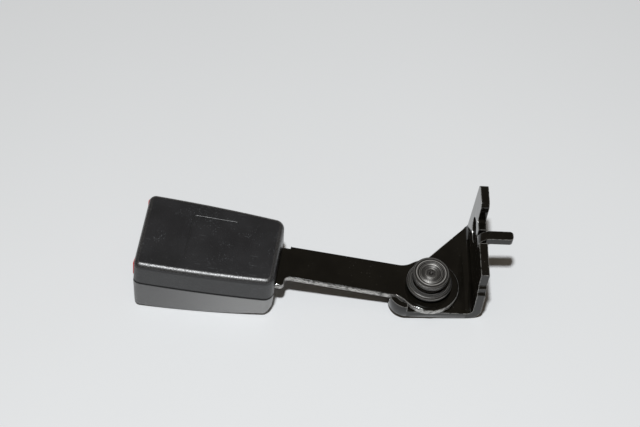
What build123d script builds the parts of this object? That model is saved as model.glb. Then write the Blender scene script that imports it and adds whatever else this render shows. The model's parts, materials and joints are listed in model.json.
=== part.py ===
from build123d import *
import math
import os

# Seat belt buckle on a riveted steel arm, pivoting on a headed stud in a bent mounting bracket.
# Millimetres. Every piece is drawn about the pivot: the stud's axis is +Z, the top of the arm's
# plate is z = 0, and the arm and head run towards -X. The pieces of the head are drawn about the
# head's own middle plane, which sits to one side of the pivot. The bracket is drawn square to its
# flange and then turned about the stud. On export everything moves so that the centre of the
# seat bolt hole, on the flange's outer face, is the origin.

# ---- pivot stack, from the bracket's underside upwards ----
bracket_thick = 4.0
spacer_thick = 0.5
arm_thick = 3.0
bush_flange_thick = 0.6
wave_washer_height = 0.8
collar_height = 2.9
neck_height = 3.8
stud_head_thick = 2.7

shank_r = 5.0
neck_r = 5.5
stud_head_r = 9.0
stud_face_r = 6.95
stud_face_sink = 0.35
stud_dimple_r = 2.1
stud_dimple_sink = 0.5
stud_rim_round = 0.6
tail_r = 6.6
tail_depth = 1.6
collar_r = 11.1
collar_top_r = 10.0
bush_wall = 1.5
bush_flange_r = 9.0
spacer_r = 12.5
wave_washer_r = 9.6
collar_chamfer = 0.5
collar_dome_in = 0.3
collar_dome_down = 0.7
wave_washer_plate = 0.35
wave_washer_clear = 0.6
running_fit = 0.05
press_gap = 0.01

# ---- working allowances ----
over = 1.0
far = 60.0
join = 0.5

# ---- arm ----
arm_width = 18.1
arm_root_width = 22.0
arm_eye_r = 14.8
arm_eye_flare = 9.0
arm_shoulder_out = 4.0
arm_shoulder_r = 2.0
arm_eye_round = 0.8

# ---- bracket ----
bracket_turn = 8.7
base_front = 13.5
base_left = 19.0
base_corner_r = 8.5
base_round_r = 15.5
base_diagonal = 17.0
flange_inner = 21.0
bend_r = 3.0
flange_low_top = 27.0
flange_high_top = 39.4
flange_step_back = 20.0
flange_back = 36.9
flange_back_lean = 4.2
flange_top_r = 3.0
flange_notch_r = 1.5
ledge_up = 13.0
ledge_rise = 4.0
ledge_step = 1.1
web_r = 8.0
bolt_hole_r = 6.25
bolt_hole_back = 22.2
bolt_hole_up = 16.3
tab_front = 8.4
tab_width = 4.8
tab_top = 28.5
tab_reach = 12.4
tab_bend_r = 2.0
tab_relief = 1.4
tab_relief_depth = 4.5
tab_root_below = 3.0
tab_end_r = 1.6
lug_wall = 3.0
lug_back = 7.5
lug_height = 3.6

# ---- buckle head ----
head_reach = 140.0
head_offset = 3.5
head_length = 67.5
head_width_front = 43.6
head_width_rear = 38.2
head_bulge = 0.7
upper_height = 14.2
lower_depth_front = 20.0
lower_depth_rear = 13.0
lower_depth_bow = 0.3
parting_z = -1.75
parting_gap = 0.25
head_wall = 2.0
draft = 2.0
head_corner_r = 5.0
head_nose_corner_r = 3.8
top_edge_r = 2.8
bottom_edge_r = 2.6
floor_front_lift = 2.0
floor_rear_cut = 3.0
floor_rear_lift = 4.0
inner_corner_r = 1.0
inner_nose_corner_r = 0.4
lip_height = 1.4
lip_thick = 0.8
lip_clear = 0.1
rib_stations = (12.0, 30.0, 48.0)
rib_thick = 1.4
rib_spread = 20.0
rib_clear = 0.1
guide_wall = 1.6
guide_clear = 0.1
guide_sink = 0.6
guide_depth = 3.8
slot_foot = -4.2
label_length = 22.5
label_width = 25.5
label_depth = 0.4
label_from_front = 23.0

# ---- tongue slot and frame ----
tongue_width = 24.6
slot_clear = 0.5
slot_top = 1.3
frame_plate = 2.0
frame_inner = 26.0
frame_from = 4.0
frame_to = 65.0
wall_from = 15.0
wall_to = 62.0
wall_top = 9.0
wall_low_front = 1.0
wall_low_rear = 2.0
wall_slope_front = 7.0
wall_slope_rear = 10.0
frame_side_clear = 0.4
window_lead = 0.8
window_length = 5.5
window_width = 13.2
bridge_thick = 1.2
bridge_from = 31.5
bridge_length = 9.0
tenon_length = 4.0
tenon_clear = 0.05
rivet_r = 3.0
rivet_head_r = 4.4
rivet_tip_r = 2.64
rivet_head_thick = 1.9
rivet_from = 56.0
rivet_spread = 12.0
arm_front = 50.0

# ---- latch ----
pivot_from = 46.0
pivot_z = 5.0
pin_r = 1.5
pin_head_r = 2.4
pin_head_thick = 0.8
latch_width = 16.0
latch_plate_thick = 2.0
latch_plate_z = 3.6
latch_front = 19.5
nose_length = 3.5
nose_width = 12.0
nose_depth = 3.9
nose_shoulder = 1.0
nose_rake = 0.45
nose_overlap = 0.2
latch_barrel_r = 2.9
peg_r = 1.2
peg_from = 30.0
peg_z = 4.6
peg_reach = 12.3
latch_angle = 9.6

# ---- button ----
button_travel = 5.0
button_depth = 9.0
button_bottom = 1.7
button_clear = 0.3
button_wall = 3.0
button_roof = 1.5
button_dish_r = 120.0
button_dish = 1.4
button_face_round = 0.8
button_arm_in = 9.0
button_arm_out = 12.4
button_arm_end = 36.0
button_arm_foot = 3.1
ramp_clear = 0.15

# ---- ejector ----
ejector_front = 13.5
ejector_rear = 29.0
ejector_bar = 4.5
ejector_half = 12.2
ejector_gap_half = 7.0
ejector_thick = 2.5
ejector_lift = 0.15
ejector_rod_r = 0.8
ejector_travel = 12.0
ejector_rod_gap = 0.5

# ---- springs ----
ejector_spring_r = 1.4
ejector_spring_wire = 0.3
ejector_spring_turns = 7
button_spring_r = 1.2
button_spring_wire = 0.22
button_spring_turns = 6
button_spring_y = 16.9
button_spring_z = 5.0
button_pocket_depth = 4.0
spring_stop_from = 22.0
spring_stop_thick = 1.5
spring_stop_foot = 2.0
latch_spring_r = 2.4
latch_spring_wire = 0.25
latch_spring_turns = 2.5
latch_spring_from = 36.0
spring_gap = 0.05
spring_floor_gap = 0.1
spring_pocket_clear = 0.2

# ---- places that follow from the sizes above ----
bracket_top = -arm_thick - spacer_thick
bracket_bottom = bracket_top - bracket_thick
collar_z = bush_flange_thick + wave_washer_height
collar_top = collar_z + collar_height
stud_head_z = collar_top + neck_height
stud_top = stud_head_z + stud_head_thick
bush_r = shank_r + running_fit + bush_wall
head_front = -head_reach
head_rear = head_front + head_length
head_top = parting_z + upper_height
ceiling = head_top - head_wall
flange_outer = flange_inner + bracket_thick
frame_outer = frame_inner / 2 + frame_plate
frame_floor = -arm_thick - frame_plate
button_top = ceiling - button_clear
ejector_rod_end = arm_front - ejector_travel - ejector_rod_gap
ejector_spring_z = -arm_thick + ejector_spring_r + ejector_spring_wire + spring_floor_gap


def along(from_front):
    """X of a point measured back from the tongue end of the head."""
    return head_front + from_front


def block(x0, x1, y0, y1, z0, z1):
    """Box between two corners."""
    return Pos((x0 + x1) / 2, (y0 + y1) / 2, (z0 + z1) / 2) * Box(x1 - x0, y1 - y0, z1 - z0)


def disc(radius, z0, z1, x=0.0, y=0.0):
    """Upright cylinder between two heights."""
    return Pos(x, y, (z0 + z1) / 2) * Cylinder(radius, z1 - z0)


def rod_x(radius, x0, x1, y, z):
    """Cylinder along X."""
    return Pos((x0 + x1) / 2, y, z) * Rot(0, 90, 0) * Cylinder(radius, x1 - x0)


def rod_y(radius, y0, y1, x, z):
    """Cylinder along Y."""
    return Pos(x, (y0 + y1) / 2, z) * Rot(90, 0, 0) * Cylinder(radius, y1 - y0)


def side_plate(points, y0, y1):
    """Plate between two Y planes whose outline is given as (x, z) corners."""
    outline = Plane.XZ * make_face(Polyline(*points, close=True))
    return Pos(0, y1, 0) * extrude(outline, y1 - y0)


def spring_x(radius, wire, turns, x0, x1, y, z):
    """Compression spring along X that just clears its two seats."""
    length = x1 - x0 - 2 * (wire + spring_gap)
    path = Helix(pitch=length / turns, height=length, radius=radius)
    section = Plane(origin=path @ 0, z_dir=path % 0) * Circle(wire)
    coil = sweep(section, path=path, is_frenet=True)
    return Pos(x0 + wire + spring_gap, y, z) * Rot(0, 90, 0) * coil


# ---------------------------------------------------------------- pivot


def pivot_stud():
    """Turned stud: flat head with a sunk face, neck, shoulder, shank and spread tail."""
    rim = stud_rim_round
    with BuildPart() as stud:
        with BuildSketch(Plane.XZ):
            with BuildLine():
                Polyline(
                    (0, stud_top - stud_face_sink - stud_dimple_sink),
                    (stud_dimple_r * 0.8, stud_top - stud_face_sink - stud_dimple_sink),
                    (stud_dimple_r, stud_top - stud_face_sink),
                    (stud_face_r - stud_face_sink, stud_top - stud_face_sink),
                    (stud_face_r, stud_top),
                    (stud_head_r - rim, stud_top),
                )
                RadiusArc((stud_head_r - rim, stud_top), (stud_head_r, stud_top - rim), rim)
                Polyline(
                    (stud_head_r, stud_top - rim),
                    (stud_head_r, stud_head_z + rim),
                    (stud_head_r - rim, stud_head_z),
                    (neck_r, stud_head_z),
                    (neck_r, collar_z),
                    (shank_r, collar_z),
                    (shank_r, bracket_bottom + tail_depth),
                    (tail_r, bracket_bottom),
                    (0, bracket_bottom),
                    (0, stud_top - stud_face_sink - stud_dimple_sink),
                )
            make_face()
        revolve(axis=Axis.Z)
    return stud.part


def stud_collar():
    """Collar pressed on the neck, with a domed upper edge and a chamfered lower one."""
    bore = neck_r + press_gap
    chamfer_z = collar_height * 0.4
    with BuildPart() as collar:
        with BuildSketch(Plane.XZ):
            with BuildLine():
                Polyline(
                    (bore, collar_top),
                    (bore, collar_z),
                    (collar_r - collar_chamfer, collar_z),
                    (collar_r, collar_z + chamfer_z),
                )
                ThreePointArc(
                    (collar_r, collar_z + chamfer_z),
                    (collar_r - collar_dome_in, collar_top - collar_dome_down),
                    (collar_top_r, collar_top),
                )
                Line((collar_top_r, collar_top), (bore, collar_top))
            make_face()
        revolve(axis=Axis.Z)
    return collar.part


def wave_washer():
    """Spring washer with three waves between the bush and the collar."""
    inner = shank_r + wave_washer_clear
    amplitude = (wave_washer_height - wave_washer_plate) / 2 - spring_gap
    middle_z = bush_flange_thick + wave_washer_height / 2
    waves = 3
    rims = []
    for radius in (inner, wave_washer_r):
        points = []
        for step in range(waves * 8):
            angle = 2 * math.pi * step / (waves * 8)
            height = amplitude * math.cos(waves * angle)
            points.append((radius * math.cos(angle), radius * math.sin(angle), height))
        rims.append(Spline(*points, periodic=True))
    surface = Face.make_surface_from_curves(rims[0].edge(), rims[1].edge())
    return Pos(0, 0, middle_z - wave_washer_plate / 2) * extrude(surface, wave_washer_plate, dir=(0, 0, 1))


def pivot_bush():
    """Flanged bush pressed in the arm's eye; the stud's shank turns in it."""
    sleeve = disc(bush_r, -arm_thick, 0)
    flange = disc(bush_flange_r, 0, bush_flange_thick)
    bore = disc(shank_r + running_fit, -arm_thick - over, bush_flange_thick + over)
    return sleeve + flange - bore


def spacer_washer():
    """Low-friction washer between the arm's eye and the bracket."""
    ring = disc(spacer_r, bracket_top + spring_gap, -arm_thick - spring_gap)
    return ring - disc(shank_r + 0.2, bracket_bottom, 0)


# ---------------------------------------------------------------- bracket


def bracket_side_mask():
    """Everything inside the flange's side outline: low front part, step and high back part."""
    front = -base_front
    low = bracket_bottom - over
    crest_back = flange_back - flange_back_lean
    ledge_top = ledge_up + ledge_rise
    with BuildPart() as mask:
        with BuildSketch(Plane.YZ.offset(-base_left - over)) as outline:
            with BuildLine():
                Polyline(
                    (front - over, low),
                    (front - over, bracket_top),
                    (front, bracket_top),
                    (front, ledge_up),
                    (front + ledge_step, ledge_up + ledge_step),
                    (front + ledge_step, ledge_top),
                    (front + 2 * ledge_step, ledge_top + ledge_step),
                    (front + 2 * ledge_step, flange_low_top),
                    (flange_step_back, flange_low_top),
                    (flange_step_back, flange_high_top),
                    (crest_back, flange_high_top),
                    (flange_back, low),
                    (front - over, low),
                )
            make_face()
            crests = outline.vertices().group_by(Axis.Y)[-1]
            fillet(crests, flange_top_r)
            notch = outline.vertices().filter_by_position(
                Axis.X, flange_step_back - 0.1, flange_step_back + 0.1
            )
            fillet(notch.sort_by(Axis.Y)[:1], flange_notch_r)
        extrude(amount=base_left + flange_outer + tab_reach + 2)
    return mask.part


def bracket_plan_mask():
    """Everything inside the bracket's plan outline."""
    left = -base_left
    front = -base_front
    corner = base_corner_r * (1 - math.sqrt(0.5))
    tangent_x = math.sqrt(base_round_r**2 / 2 - base_diagonal**2 / 4) - base_diagonal / 2
    tangent_y = tangent_x + base_diagonal
    middle = (math.atan2(tangent_y, tangent_x) + math.pi) / 2
    height = flange_high_top - bracket_bottom + 4
    with BuildPart() as mask:
        with BuildSketch(Plane.XY.offset(bracket_bottom - over)) as outline:
            with BuildLine():
                ThreePointArc(
                    (left, front + base_corner_r),
                    (left + corner, front + corner),
                    (left + base_corner_r, front),
                )
                Polyline(
                    (left + base_corner_r, front),
                    (flange_outer + over, front),
                    (flange_outer + over, flange_back + over),
                    (flange_inner, flange_back + over),
                    (flange_inner, flange_inner + base_diagonal - web_r),
                    (flange_inner - web_r, flange_inner + base_diagonal - web_r),
                    (tangent_x, tangent_y),
                )
                ThreePointArc(
                    (tangent_x, tangent_y),
                    (base_round_r * math.cos(middle), base_round_r * math.sin(middle)),
                    (-base_round_r, 0),
                )
                Line((-base_round_r, 0), (left, front + base_corner_r))
            make_face()
        extrude(amount=height)
    return mask.part


def bent_plate(width_from, width_to, base_from, top_z):
    """L-shaped plate in the bracket's own frame: base, bend and flange, extruded along Y."""
    outer_r = bend_r + bracket_thick
    with BuildPart() as plate:
        with BuildSketch(Plane.XZ.offset(-width_to)):
            with BuildLine():
                Line((base_from, bracket_bottom), (flange_outer - outer_r, bracket_bottom))
                RadiusArc(
                    (flange_outer - outer_r, bracket_bottom),
                    (flange_outer, bracket_bottom + outer_r),
                    -outer_r,
                )
                Polyline(
                    (flange_outer, bracket_bottom + outer_r),
                    (flange_outer, top_z),
                    (flange_inner, top_z),
                    (flange_inner, bracket_top + bend_r),
                )
                RadiusArc(
                    (flange_inner, bracket_top + bend_r),
                    (flange_inner - bend_r, bracket_top),
                    bend_r,
                )
                Polyline(
                    (flange_inner - bend_r, bracket_top),
                    (base_from, bracket_top),
                    (base_from, bracket_bottom),
                )
            make_face()
        extrude(amount=width_to - width_from)
    return plate.part


def bracket_tab():
    """Guide tab bent outwards from the flange's low top edge."""
    outer_r = tab_bend_r + bracket_thick
    end = flange_outer + tab_reach
    under = tab_top - bracket_thick
    root = tab_top - outer_r - tab_root_below
    with BuildPart() as tab:
        with BuildSketch(Plane.XZ.offset(-tab_front - tab_width)):
            with BuildLine():
                Line((flange_inner, root), (flange_inner, tab_top - outer_r))
                RadiusArc((flange_inner, tab_top - outer_r), (flange_inner + outer_r, tab_top), outer_r)
                Polyline(
                    (flange_inner + outer_r, tab_top),
                    (end, tab_top),
                    (end, under),
                    (flange_outer + tab_bend_r, under),
                )
                RadiusArc(
                    (flange_outer + tab_bend_r, under),
                    (flange_outer, under - tab_bend_r),
                    -tab_bend_r,
                )
                Polyline(
                    (flange_outer, under - tab_bend_r),
                    (flange_outer, root),
                    (flange_inner, root),
                )
            make_face()
        extrude(amount=tab_width)
    ends = tab.part.edges().filter_by(Axis.Z).group_by(Axis.X)[-1]
    return fillet(ends, tab_end_r)


def stop_lug():
    """Raised lip along the base's rounded front corner, which the arm comes to rest against."""
    x = base_corner_r - base_left
    y = base_corner_r - base_front
    top = bracket_top + lug_height
    lip = disc(base_corner_r, bracket_bottom, top, x, y)
    lip -= disc(base_corner_r - lug_wall, bracket_bottom - over, top + over, x, y)
    return lip & block(-base_left, x, -base_front, -lug_back, bracket_bottom, top)


def bracket():
    """Mounting bracket: base under the arm's eye, bolt flange, guide tab and stop lug."""
    body = bent_plate(-base_front, flange_back, -base_left, flange_high_top)
    body = body & bracket_plan_mask()
    body = body & bracket_side_mask()
    slot_low = flange_low_top - tab_relief_depth
    tab_back = tab_front + tab_width
    inside = flange_inner - over
    outside = flange_outer + over
    for start in (tab_front - tab_relief, tab_back):
        body -= block(inside, outside, start, start + tab_relief, slot_low, flange_low_top + over)
    tab_root = tab_top - bracket_thick - tab_bend_r
    body -= block(inside, outside, tab_front, tab_back, tab_root, flange_low_top + over)
    body += bracket_tab()
    body += stop_lug()
    body -= rod_x(bolt_hole_r, inside, outside, bolt_hole_back, bolt_hole_up)
    body -= disc(shank_r + press_gap, bracket_bottom - over, bracket_top + over)
    body -= Pos(0, 0, bracket_bottom + tail_depth / 2) * Cone(
        tail_r + press_gap, shank_r + press_gap, tail_depth
    )
    return Rot(0, 0, bracket_turn) * body


# ---------------------------------------------------------------- arm


def arm_plate():
    """Pressed arm: eye, narrow middle, shoulders at the head and flat tail inside it."""
    tail = along(arm_front)
    shoulder = head_rear + arm_shoulder_out
    with BuildPart() as arm:
        with BuildSketch(Plane.XY.offset(-arm_thick)) as plan:
            with Locations(((tail + shoulder) / 2, -head_offset)):
                Rectangle(shoulder - tail, arm_root_width)
            with Locations((shoulder / 2, 0)):
                Rectangle(-shoulder, arm_width)
            step = plan.vertices().filter_by_position(Axis.X, shoulder - 0.1, shoulder + 0.1)
            fillet(step.sort_by(Axis.Y)[:2], arm_shoulder_r)
            Circle(arm_eye_r)
            waist = plan.vertices().filter_by_position(Axis.X, -arm_eye_r, -arm_eye_r / 2)
            fillet(waist, arm_eye_flare)
        extrude(amount=arm_thick)
    body = arm.part
    rim = body.edges().filter_by(GeomType.CIRCLE).group_by(Axis.Z)[-1].sort_by(SortBy.RADIUS)[-1:]
    body = fillet(rim, arm_eye_round)
    body -= disc(bush_r + press_gap, -arm_thick - over, 1)
    for y in rivet_rows():
        body -= disc(rivet_r + press_gap, -arm_thick - over, 1, along(rivet_from), y - head_offset)
    return body


def rivet_rows():
    """Y of each rivet that joins the arm's tail to the frame, from the head's middle plane."""
    return (-rivet_spread / 2, rivet_spread / 2)


# ---------------------------------------------------------------- head covers


def head_plan(inset):
    """Plan outline of the head, drawn in by an inset: bulged sides that narrow to the rear."""
    x0 = head_front + inset
    x1 = head_rear - inset
    front = head_width_front / 2 - inset
    rear = head_width_rear / 2 - inset
    middle = (front + rear) / 2 + head_bulge
    outline = make_face(
        [
            ThreePointArc((x0, front), ((x0 + x1) / 2, middle), (x1, rear)),
            Line((x1, rear), (x1, -rear)),
            ThreePointArc((x1, -rear), ((x0 + x1) / 2, -middle), (x0, -front)),
            Line((x0, -front), (x0, front)),
        ]
    )
    corners = outline.vertices().group_by(Axis.X)
    outline = fillet(corners[-1], max(head_corner_r - inset, inner_corner_r))
    corners = outline.vertices().group_by(Axis.X)
    return fillet(corners[0], max(head_nose_corner_r - inset, inner_nose_corner_r))


def prism(face, z0, z1):
    """Straight prism on a plan outline."""
    return Pos(0, 0, z0) * extrude(face, z1 - z0, dir=(0, 0, 1))


def drafted(inset, z0, z1):
    """Prism on the head's outline that narrows away from the parting plane by the draft."""
    height = abs(z1 - z0)
    taken_in = height * math.tan(math.radians(draft))
    near = Pos(0, 0, z0) * head_plan(inset)
    far = Pos(0, 0, z1) * head_plan(inset + taken_in)
    return loft([near, far])


def boat(inset, drop):
    """Side mask of the lower cover: a floor that rises towards the arm and at both ends."""
    x0 = head_front + inset
    x1 = head_rear - inset
    front_z = parting_z - lower_depth_front + drop
    rear_z = parting_z - lower_depth_rear + drop
    middle_z = front_z + (rear_z - front_z) * lower_depth_bow
    reach = head_width_front
    with BuildPart() as mask:
        with BuildSketch(Plane.XZ.offset(-reach)):
            with BuildLine():
                Line((x0, parting_z + 5), (x0, front_z + floor_front_lift))
                Line((x0, front_z + floor_front_lift), (x0 + floor_front_lift, front_z))
                ThreePointArc((x0 + floor_front_lift, front_z), ((x0 + x1) / 2, middle_z), (x1 - floor_rear_cut, rear_z))
                Line((x1 - floor_rear_cut, rear_z), (x1, rear_z + floor_rear_lift))
                Line((x1, rear_z + floor_rear_lift), (x1, parting_z + 5))
                Line((x1, parting_z + 5), (x0, parting_z + 5))
            make_face()
        extrude(amount=2 * reach)
    return mask.part


def slot_mouth(grow, depth):
    """Opening for the tongue through the tongue end of the head."""
    half = tongue_width / 2 + slot_clear + grow
    return block(
        head_front - over, along(depth), -half, half, -arm_thick - slot_clear - grow, slot_top + grow
    )


def arm_mouth():
    """Opening for the arm through the rear of the head."""
    half = arm_root_width / 2 + slot_clear
    return block(
        head_rear - 2 * head_wall,
        head_rear + over,
        -half,
        half,
        -arm_thick - slot_clear,
        slot_clear,
    )


def lap(inset, z0, z1):
    """Ring of the lap joint between the covers, from an inset to the cavity wall."""
    return prism(head_plan(inset), z0, z1) - prism(head_plan(head_wall), z0 - over, z1 + over)


def housing_upper():
    """Upper cover: drafted shell, rounded crown, sunk label field, open button end."""
    base = parting_z + parting_gap
    shell = drafted(0, base, head_top)
    crown = shell.faces().sort_by(Axis.Z)[-1].edges()
    shell = soften(shell, crown, top_edge_r)
    shell -= drafted(head_wall, base - 0.01, ceiling)
    shell -= lap(head_wall - lip_thick - lip_clear, base - over, parting_z + lip_height + lip_clear)
    half = head_width_front / 2 - head_wall
    shell -= block(head_front - over, along(head_wall + over), -half, half, base - over, ceiling)
    shell -= arm_mouth()
    x0 = along(label_from_front)
    field = Pos(x0 + label_length / 2, 0) * RectangleRounded(label_length, label_width, 1.5)
    shell -= prism(field, head_top - label_depth, head_top + over)
    for side in (-1, 1):
        inner = side * (frame_outer + frame_side_clear)
        outer = side * (head_width_front / 2 - head_wall / 2)
        y0, y1 = sorted((inner, outer))
        stop = along(spring_stop_from)
        rib = block(stop, stop + spring_stop_thick, y0, y1, spring_stop_foot, ceiling + join)
        shell += rib
    return shell


def housing_lower():
    """Lower cover: boat-shaped shell with a lap lip, inner ribs and half of both mouths."""
    top = parting_z - parting_gap
    outer = drafted(0, top, parting_z - lower_depth_front - over) & boat(0, 0)
    floor_edges = outer.edges().filter_by_position(Axis.Z, -far, parting_z - 6)
    outer = soften(outer, floor_edges, bottom_edge_r)
    cavity = drafted(head_wall, top + over, parting_z - lower_depth_front - over) & boat(head_wall, head_wall)
    shell = outer - cavity
    lip = lap(head_wall - lip_thick, top - over, parting_z + lip_height)
    shell += lip
    ribs = None
    for from_front in rib_stations:
        x = along(from_front)
        rib = block(x, x + rib_thick, -far, far, -far, frame_floor - rib_clear)
        ribs = rib if ribs is None else ribs + rib
    for side in (-1, 1):
        y = side * rib_spread
        ribs += block(
            along(rib_stations[0]),
            along(rib_stations[-1]),
            y - rib_thick / 2,
            y + rib_thick / 2,
            -far,
            frame_floor - rib_clear,
        )
    shell += ribs & outer
    shell -= slot_mouth(guide_wall, head_wall + 2)
    shell -= arm_mouth()
    shell -= block(head_front - over, along(head_wall + over), -far, far, slot_foot, far) & button_end_mask()
    return shell


def button_end_mask():
    """Space across the tongue end between the side walls, which the button closes."""
    half = head_width_front / 2 - head_wall
    return block(head_front - 2, along(head_wall + 2), -half, half, -far, far)


def soften(solid, edges, radius):
    """Fillet with the largest radius up to the wanted one that the solid takes."""
    limit = solid.max_fillet(edges, tolerance=0.5, max_iterations=40)
    return fillet(edges, min(radius, 0.9 * limit))


def tongue_guide():
    """Mouth insert with flared lips that leads the tongue on to the frame."""
    wall = guide_wall - guide_clear
    body = slot_mouth(wall, guide_depth) - slot_mouth(0, guide_depth + over)
    body -= block(head_front - 2, head_front + guide_sink, -far, far, -far, far)
    body -= block(head_front - 2, along(guide_depth + over), -far, far, slot_top, far)
    return body


# ---------------------------------------------------------------- steel frame


def buckle_frame():
    """Channel frame: base with the nose window, two walls cut back at the front, tenons."""
    half = frame_inner / 2
    body = block(along(frame_from), along(frame_to), -frame_outer, frame_outer, frame_floor, -arm_thick)
    wall_outline = [
        (along(wall_from), frame_floor),
        (along(wall_from), wall_low_front),
        (along(wall_from + wall_slope_front), wall_top),
        (along(wall_to - wall_slope_rear), wall_top),
        (along(wall_to), wall_low_rear),
        (along(wall_to), frame_floor),
    ]
    body += side_plate(wall_outline, half, frame_outer)
    body += side_plate(wall_outline, -frame_outer, -half)
    tenon = along(bridge_from + (bridge_length - tenon_length) / 2)
    for side in (-1, 1):
        y0, y1 = sorted((side * half, side * frame_outer))
        body += block(tenon, tenon + tenon_length, y0, y1, wall_top - join, wall_top + bridge_thick)
    window = along(latch_front - window_lead)
    body -= block(
        window, window + window_length, -window_width / 2, window_width / 2, frame_floor - over, -arm_thick + over
    )
    body -= rod_y(pin_r + press_gap, -far, far, along(pivot_from), pivot_z)
    for y in rivet_rows():
        body -= disc(rivet_r + press_gap, frame_floor - over, 1, along(rivet_from), y)
    return body


def frame_bridge():
    """Cross plate over the walls, slotted for their tenons; the latch spring bears on it."""
    x0 = along(bridge_from)
    body = block(x0, x0 + bridge_length, -frame_outer, frame_outer, wall_top, wall_top + bridge_thick)
    tenon = along(bridge_from + (bridge_length - tenon_length) / 2)
    half = frame_inner / 2
    for side in (-1, 1):
        y0, y1 = sorted((side * (half - tenon_clear), side * (frame_outer + over)))
        body -= block(
            tenon - tenon_clear, tenon + tenon_length + tenon_clear, y0, y1, wall_top - over, wall_top + bridge_thick + over
        )
    return body


def frame_rivets():
    """Two rivets through the arm's tail and the frame's base."""
    rivets = []
    for y in rivet_rows():
        x = along(rivet_from)
        shank = disc(rivet_r, frame_floor, 0, x, y)
        head = Pos(x, y, rivet_head_thick / 2) * Cone(rivet_head_r, rivet_tip_r, rivet_head_thick)
        foot = Pos(x, y, frame_floor - rivet_head_thick / 2) * Cone(
            rivet_tip_r, rivet_head_r, rivet_head_thick
        )
        rivets.append(shank + head + foot)
    return Compound(rivets)


def latch_pivot_pin():
    """Headed pin across the frame that the latch turns on."""
    x = along(pivot_from)
    end = frame_outer + spring_gap + pin_head_thick
    pin = rod_y(pin_r, -end, end, x, pivot_z)
    for side in (-1, 1):
        y0, y1 = sorted((side * (frame_outer + spring_gap), side * end))
        pin += rod_y(pin_head_r, y0, y1, x, pivot_z)
    return pin


# ---------------------------------------------------------------- latch, button, ejector


def latch_plate():
    """Latch: barrel on the pivot, flat body, hooked nose in the window and two side pegs."""
    pivot = along(pivot_from)
    front = along(latch_front)
    half = latch_width / 2
    low = latch_plate_z
    high = latch_plate_z + latch_plate_thick
    body = block(front, pivot, -half, half, low, high)
    body += rod_y(latch_barrel_r, -half, half, pivot, pivot_z)
    nose = [
        (front, high - nose_overlap),
        (front, low - nose_shoulder),
        (front + nose_length * nose_rake, -nose_depth),
        (front + nose_length, -nose_depth),
        (front + nose_length, high - nose_overlap),
    ]
    body += side_plate(nose, -nose_width / 2, nose_width / 2)
    body += rod_y(peg_r, -peg_reach, peg_reach, along(peg_from), peg_z)
    body -= rod_y(pin_r + running_fit, -far, far, pivot, pivot_z)
    return body


def peg_path():
    """Peg centre in the button's own frame, at rest and with the button home."""
    turn = math.radians(latch_angle)
    dx = peg_from - pivot_from
    dz = peg_z - pivot_z
    lifted_x = pivot_from + dx * math.cos(turn) + dz * math.sin(turn) - button_travel
    lifted_z = pivot_z - dx * math.sin(turn) + dz * math.cos(turn)
    return (peg_from, peg_z), (lifted_x, lifted_z)


def release_button():
    """Push button: dished cap across the tongue end and two arms with lifting ramps."""
    half = head_width_front / 2
    rear = along(button_depth)
    cap = block(head_front, rear, -half, half, button_bottom, button_top)
    pressed_space = drafted(head_wall + button_clear, parting_z, ceiling)
    cap = cap & (Pos(-button_travel, 0, 0) * pressed_space)
    face_edges = cap.edges().filter_by_position(Axis.X, head_front - 0.1, head_front + 0.1)
    cap = fillet(face_edges, button_face_round)
    dish_x = head_front + button_dish - button_dish_r
    cap -= disc(button_dish_r, button_bottom - over, button_top + over, dish_x, 0)
    hollow = block(
        along(button_wall), rear + over, -button_arm_in, button_arm_in, button_bottom - over, button_top - button_roof
    )
    cap -= hollow
    (rest_x, rest_z), (home_x, home_z) = peg_path()
    slope = math.atan2(home_z - rest_z, rest_x - home_x)
    offset = peg_r + ramp_clear
    foot = (rest_x - offset * math.sin(slope), rest_z - offset * math.cos(slope))
    crest = (home_x - offset * math.sin(slope), home_z - offset * math.cos(slope))
    outline = [
        (along(button_depth - over), button_bottom),
        (along(button_arm_end), button_bottom),
        (along(button_arm_end), button_arm_foot),
        (along(foot[0]), min(foot[1], button_arm_foot)),
        (along(crest[0]), crest[1]),
        (along(button_depth - over), crest[1]),
    ]
    body = cap
    for side in (-1, 1):
        y0, y1 = sorted((side * button_arm_in, side * button_arm_out))
        body += side_plate(outline, y0, y1)
        pocket = rod_x(
            button_spring_r + button_spring_wire + spring_pocket_clear,
            rear - button_pocket_depth,
            rear + over,
            side * button_spring_y,
            button_spring_z,
        )
        body -= pocket
    return body


def ejector():
    """Sliding fork that the tongue pushes back, with a rod that guides its spring."""
    low = -arm_thick + ejector_lift
    high = low + ejector_thick
    body = block(along(ejector_front), along(ejector_rear), -ejector_half, ejector_half, low, high)
    bar = along(ejector_rear - ejector_bar)
    body -= block(head_front, bar, -ejector_gap_half, ejector_gap_half, low - over, high + over)
    body += rod_x(
        ejector_rod_r, along(ejector_rear - over), along(ejector_rod_end), 0, ejector_spring_z
    )
    return body


# ---------------------------------------------------------------- springs


def ejector_spring():
    """Spring between the ejector and the front edge of the arm's tail."""
    return spring_x(
        ejector_spring_r,
        ejector_spring_wire,
        ejector_spring_turns,
        along(ejector_rear),
        along(arm_front),
        0,
        ejector_spring_z,
    )


def button_springs():
    """Two springs between the button's pockets and the upper cover's stops."""
    springs = []
    for side in (-1, 1):
        springs.append(
            spring_x(
                button_spring_r,
                button_spring_wire,
                button_spring_turns,
                along(button_depth - button_pocket_depth),
                along(spring_stop_from),
                side * button_spring_y,
                button_spring_z,
            )
        )
    return Compound(springs)


def latch_spring():
    """Short spring between the latch and the bridge."""
    low = latch_plate_z + latch_plate_thick
    upright = spring_x(
        latch_spring_r, latch_spring_wire, latch_spring_turns, low, wall_top, 0, 0
    )
    return Pos(along(latch_spring_from), 0, 0) * Rot(0, -90, 0) * upright


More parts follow.
